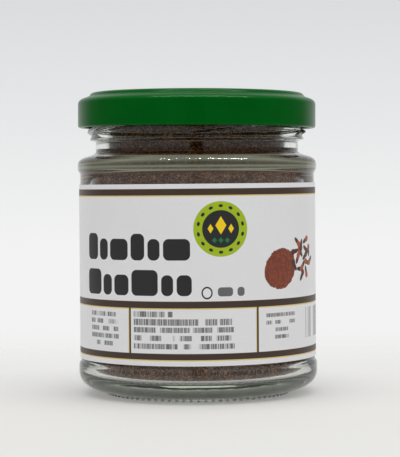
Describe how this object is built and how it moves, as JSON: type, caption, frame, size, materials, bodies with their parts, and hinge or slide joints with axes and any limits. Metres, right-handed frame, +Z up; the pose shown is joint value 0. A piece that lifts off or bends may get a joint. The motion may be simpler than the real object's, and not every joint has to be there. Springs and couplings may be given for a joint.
{
  "type": "jar of ground cloves",
  "caption": "Shut clear glass jar filled with brown ground cloves, with a green twist-off metal lid and a paper label wrapped round its recessed side.",
  "frame": {"origin": "middle of the foot ring, on the surface that the jar stands on", "axes": "+Z up along the jar's axis, -Y out of the middle of the label, +X to the right as seen from the front"},
  "size_m": [0.0698, 0.0698, 0.0879],
  "materials": {
    "clear_glass": "clear flint glass with a faint green tint where it is thick",
    "green_lacquer": "glossy lacquer on tinplate",
    "label_paper": "coated printed paper",
    "clove_powder": "matt fine powder"
  },
  "bodies": {
    "root": {"glass_jar": "clear_glass", "lid": "green_lacquer", "label": "label_paper", "ground_cloves": "clove_powder"}
  },
  "joints": []
}
